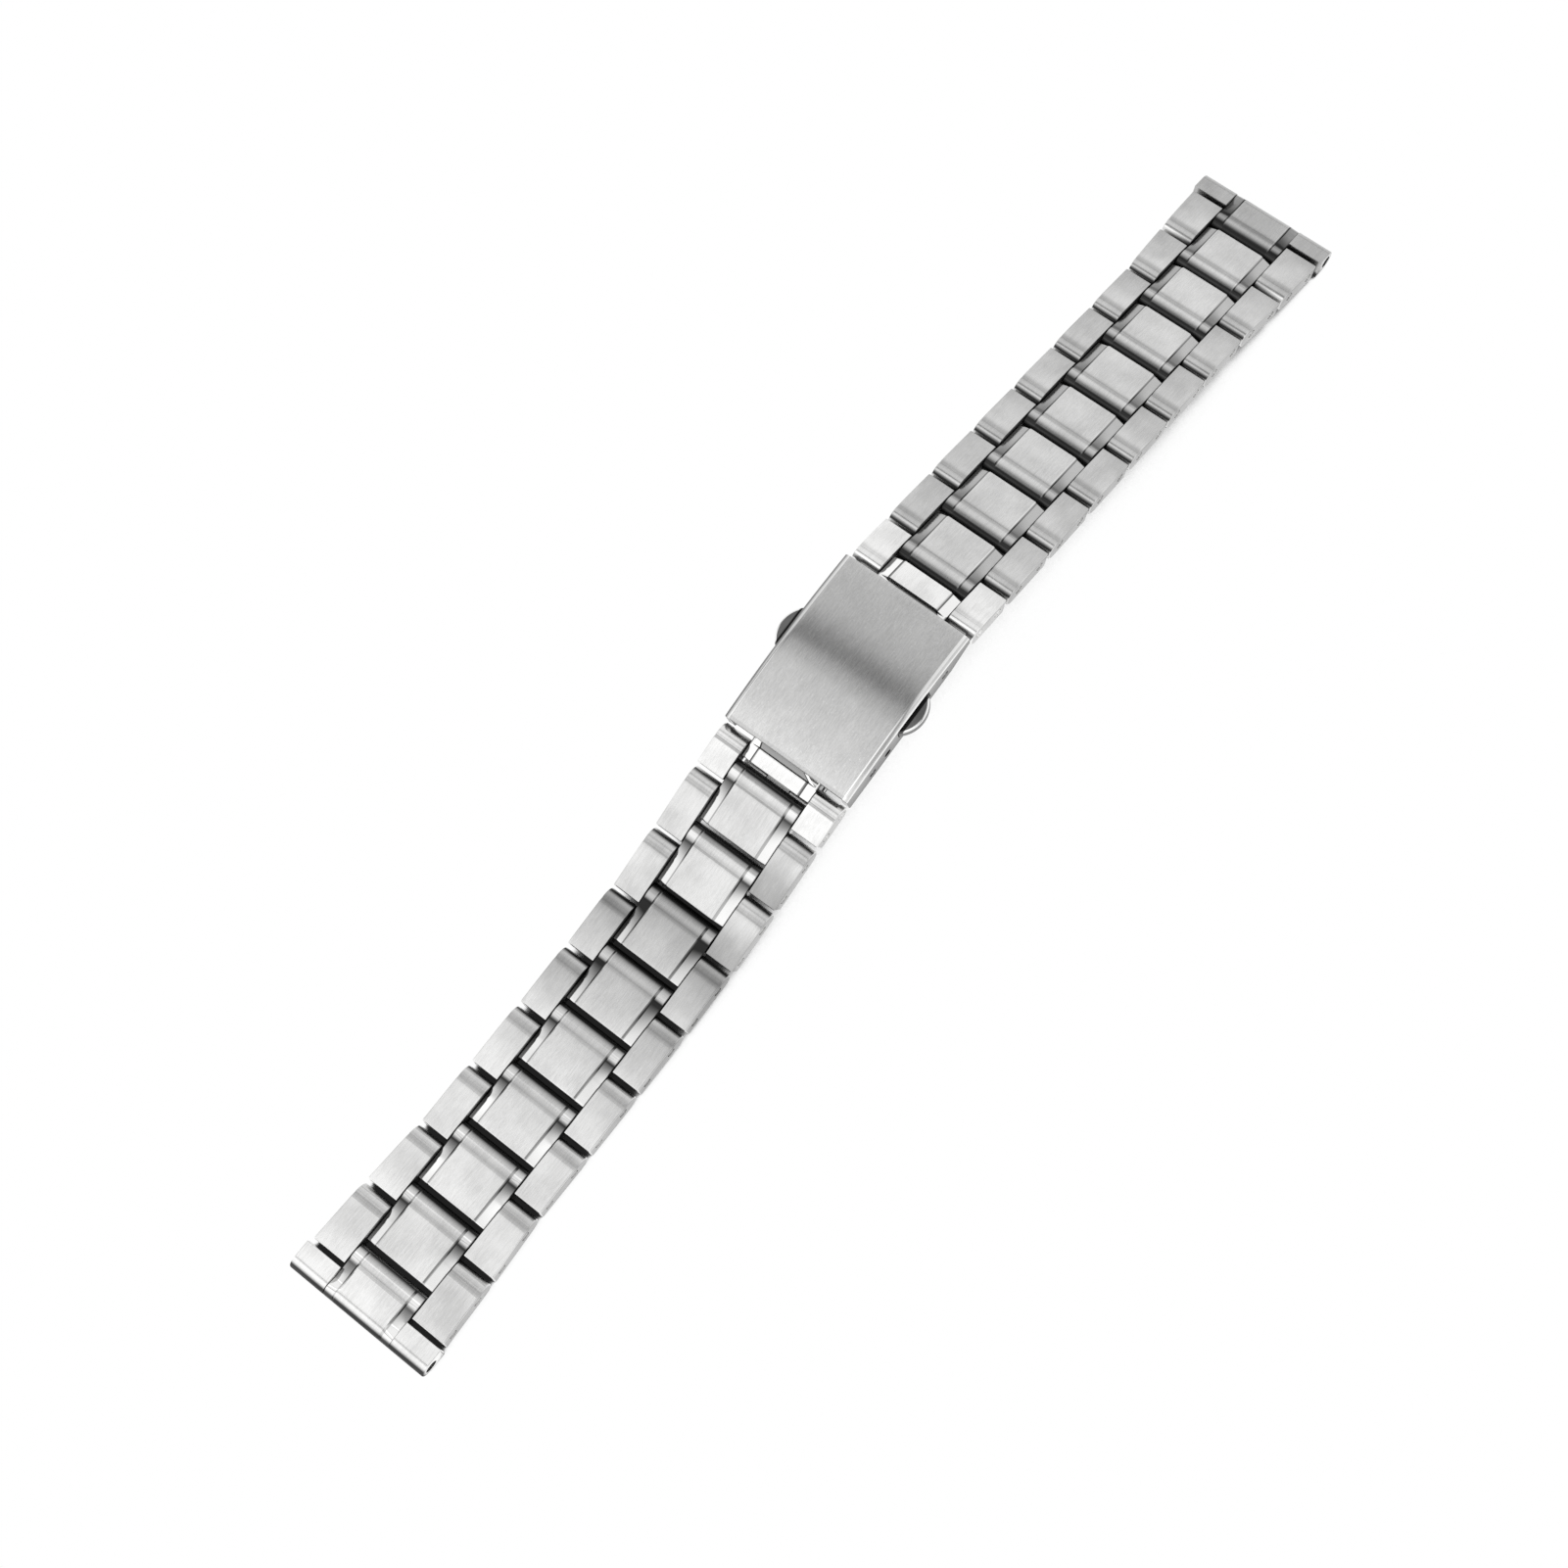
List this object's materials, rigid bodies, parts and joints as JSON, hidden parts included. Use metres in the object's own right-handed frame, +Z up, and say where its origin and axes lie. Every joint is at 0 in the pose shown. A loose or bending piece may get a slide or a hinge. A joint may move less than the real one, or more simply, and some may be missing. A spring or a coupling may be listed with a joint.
{
  "type": "steel watch bracelet",
  "caption": "Steel link watch bracelet with straight lug ends and an arched push-button folding clasp, standing in a low arch.",
  "frame": {"origin": "on the surface that the bracelet stands on, midway between its two ends and its two sides", "axes": "+Z up, +Y along the strap towards the twelve o'clock end, +X across the strap"},
  "size_m": [0.0186, 0.1654, 0.0184],
  "materials": {
    "brushed_links": "brushed lengthwise, with polished strips and edges",
    "brushed_cover": "brushed lengthwise, with polished bevels",
    "polished_buttons": "polished",
    "satin_blades": "satin, polished edges",
    "turned_pins": "smooth turned",
    "spring_wire": "bright drawn wire"
  },
  "bodies": {
    "clasp": {"clasp_cover": "brushed_cover", "latch_housing": "satin_blades", "housing_screws": "turned_pins", "cover_hinge_pin": "turned_pins", "spring_bar_tube": "turned_pins", "spring_bar_coil": "spring_wire", "button_spring_left": "spring_wire", "button_spring_right": "spring_wire"},
    "button_left": {"push_button_left": "polished_buttons"},
    "button_right": {"push_button_right": "polished_buttons"},
    "bar_tip_left": {"spring_bar_tip_left": "turned_pins"},
    "bar_tip_right": {"spring_bar_tip_right": "turned_pins"},
    "short_blade": {"blade_short": "satin_blades"},
    "long_blade": {"blade_long": "satin_blades", "catch_post": "turned_pins", "fold_hinge_pin": "turned_pins", "strap_pin": "turned_pins"},
    "row_12_9": {"side_links_12_row9": "brushed_links", "clasp_end_link_12": "brushed_links"},
    "row_12_8": {"side_links_12_row8": "brushed_links", "centre_link_12_row8": "brushed_links"},
    "row_12_7": {"side_links_12_row7": "brushed_links", "centre_link_12_row7": "brushed_links"},
    "row_12_6": {"side_links_12_row6": "brushed_links", "centre_link_12_row6": "brushed_links"},
    "row_12_5": {"side_links_12_row5": "brushed_links", "centre_link_12_row5": "brushed_links"},
    "row_12_4": {"side_links_12_row4": "brushed_links", "centre_link_12_row4": "brushed_links"},
    "row_12_3": {"side_links_12_row3": "brushed_links", "centre_link_12_row3": "brushed_links"},
    "row_12_2": {"side_links_12_row2": "brushed_links", "centre_link_12_row2": "brushed_links"},
    "row_12_1": {"side_links_12_row1": "brushed_links", "centre_link_12_row1": "brushed_links"},
    "end_12": {"end_piece_12": "brushed_links"},
    "row_6_9": {"side_links_6_row9": "brushed_links", "clasp_end_link_6": "brushed_links"},
    "row_6_8": {"side_links_6_row8": "brushed_links", "centre_link_6_row8": "brushed_links"},
    "row_6_7": {"side_links_6_row7": "brushed_links", "centre_link_6_row7": "brushed_links"},
    "row_6_6": {"side_links_6_row6": "brushed_links", "centre_link_6_row6": "brushed_links"},
    "row_6_5": {"side_links_6_row5": "brushed_links", "centre_link_6_row5": "brushed_links"},
    "row_6_4": {"side_links_6_row4": "brushed_links", "centre_link_6_row4": "brushed_links"},
    "row_6_3": {"side_links_6_row3": "brushed_links", "centre_link_6_row3": "brushed_links"},
    "row_6_2": {"side_links_6_row2": "brushed_links", "centre_link_6_row2": "brushed_links"},
    "row_6_1": {"side_links_6_row1": "brushed_links", "centre_link_6_row1": "brushed_links"},
    "end_6": {"end_piece_6": "brushed_links"}
  },
  "joints": [
    {"name": "clasp_opening", "type": "hinge", "parent": "clasp", "child": "short_blade", "pos_m": [0, 0.00526, 0.01583], "axis": [1, 0, 0], "range_deg": [0, 150]},
    {"name": "blade_unfolding", "type": "hinge", "parent": "short_blade", "child": "long_blade", "pos_m": [0, -0.01279, 0.00777], "axis": [1, 0, 0], "range_deg": [-150, 0]},
    {"name": "left_button_press", "type": "slide", "parent": "clasp", "child": "button_left", "axis": [1, 0, 0], "range_m": [0, 0.0008], "stiffness_N_per_m": 1500, "springref_m": -0.0004, "deforming": ["button_spring_left"]},
    {"name": "right_button_press", "type": "slide", "parent": "clasp", "child": "button_right", "axis": [-1, 0, 0], "range_m": [0, 0.0008], "stiffness_N_per_m": 1500, "springref_m": -0.0004, "deforming": ["button_spring_right"]},
    {"name": "spring_bar_tip_left_push", "type": "slide", "parent": "clasp", "child": "bar_tip_left", "axis": [1, 0, 0], "range_m": [0, 0.00085], "stiffness_N_per_m": 600, "springref_m": -0.001, "deforming": ["spring_bar_coil"]},
    {"name": "spring_bar_tip_right_push", "type": "slide", "parent": "clasp", "child": "bar_tip_right", "axis": [-1, 0, 0], "range_m": [0, 0.00085], "stiffness_N_per_m": 600, "springref_m": -0.001},
    {"name": "strap_hinge_12_9", "type": "hinge", "parent": "long_blade", "child": "row_12_9", "pos_m": [0, 0.00849, 0.01578], "axis": [-1, 0, 0], "range_deg": [-22.3, 12]},
    {"name": "strap_hinge_12_8", "type": "hinge", "parent": "row_12_9", "child": "row_12_8", "pos_m": [0, 0.01491, 0.0145], "axis": [-1, 0, 0], "range_deg": [-12, 26]},
    {"name": "strap_hinge_12_7", "type": "hinge", "parent": "row_12_8", "child": "row_12_7", "pos_m": [0, 0.02276, 0.01294], "axis": [-1, 0, 0], "range_deg": [-12, 26]},
    {"name": "strap_hinge_12_6", "type": "hinge", "parent": "row_12_7", "child": "row_12_6", "pos_m": [0, 0.03061, 0.01138], "axis": [-1, 0, 0], "range_deg": [-12, 26]},
    {"name": "strap_hinge_12_5", "type": "hinge", "parent": "row_12_6", "child": "row_12_5", "pos_m": [0, 0.03845, 0.00982], "axis": [-1, 0, 0], "range_deg": [-12, 26]},
    {"name": "strap_hinge_12_4", "type": "hinge", "parent": "row_12_5", "child": "row_12_4", "pos_m": [0, 0.0463, 0.00827], "axis": [-1, 0, 0], "range_deg": [-12, 26]},
    {"name": "strap_hinge_12_3", "type": "hinge", "parent": "row_12_4", "child": "row_12_3", "pos_m": [0, 0.05415, 0.00671], "axis": [-1, 0, 0], "range_deg": [-12, 26]},
    {"name": "strap_hinge_12_2", "type": "hinge", "parent": "row_12_3", "child": "row_12_2", "pos_m": [0, 0.06199, 0.00515], "axis": [-1, 0, 0], "range_deg": [-12, 26]},
    {"name": "strap_hinge_12_1", "type": "hinge", "parent": "row_12_2", "child": "row_12_1", "pos_m": [0, 0.06984, 0.00359], "axis": [-1, 0, 0], "range_deg": [-12, 26]},
    {"name": "end_hinge_12", "type": "hinge", "parent": "row_12_1", "child": "end_12", "pos_m": [0, 0.07769, 0.00203], "axis": [-1, 0, 0], "range_deg": [-12, 26]},
    {"name": "strap_hinge_6_9", "type": "hinge", "parent": "clasp", "child": "row_6_9", "pos_m": [0, -0.00713, 0.0128], "axis": [-1, 0, 0], "range_deg": [-1, 8.5]},
    {"name": "strap_hinge_6_8", "type": "hinge", "parent": "row_6_9", "child": "row_6_8", "pos_m": [0, -0.01498, 0.00995], "axis": [-1, 0, 0], "range_deg": [-22, 16]},
    {"name": "strap_hinge_6_7", "type": "hinge", "parent": "row_6_8", "child": "row_6_7", "pos_m": [0, -0.02229, 0.00669], "axis": [-1, 0, 0], "range_deg": [-29, 9]},
    {"name": "strap_hinge_6_6", "type": "hinge", "parent": "row_6_7", "child": "row_6_6", "pos_m": [0, -0.02976, 0.00383], "axis": [-1, 0, 0], "range_deg": [-38, 0]},
    {"name": "strap_hinge_6_5", "type": "hinge", "parent": "row_6_6", "child": "row_6_5", "pos_m": [0, -0.03766, 0.00257], "axis": [-1, 0, 0], "range_deg": [-30, 8]},
    {"name": "strap_hinge_6_4", "type": "hinge", "parent": "row_6_5", "child": "row_6_4", "pos_m": [0, -0.04563, 0.00188], "axis": [-1, 0, 0], "range_deg": [-28, 10]},
    {"name": "strap_hinge_6_3", "type": "hinge", "parent": "row_6_4", "child": "row_6_3", "pos_m": [0, -0.05362, 0.00146], "axis": [-1, 0, 0], "range_deg": [-28, 10]},
    {"name": "strap_hinge_6_2", "type": "hinge", "parent": "row_6_3", "child": "row_6_2", "pos_m": [0, -0.06161, 0.00132], "axis": [-1, 0, 0], "range_deg": [-27, 11]},
    {"name": "strap_hinge_6_1", "type": "hinge", "parent": "row_6_2", "child": "row_6_1", "pos_m": [0, -0.06961, 0.00132], "axis": [-1, 0, 0], "range_deg": [-26, 12]},
    {"name": "end_hinge_6", "type": "hinge", "parent": "row_6_1", "child": "end_6", "pos_m": [0, -0.07761, 0.00132], "axis": [-1, 0, 0], "range_deg": [-26, 12]}
  ],
  "couplings": [
    {"joint": "blade_unfolding", "follows": "clasp_opening", "ratio": -1}
  ]
}
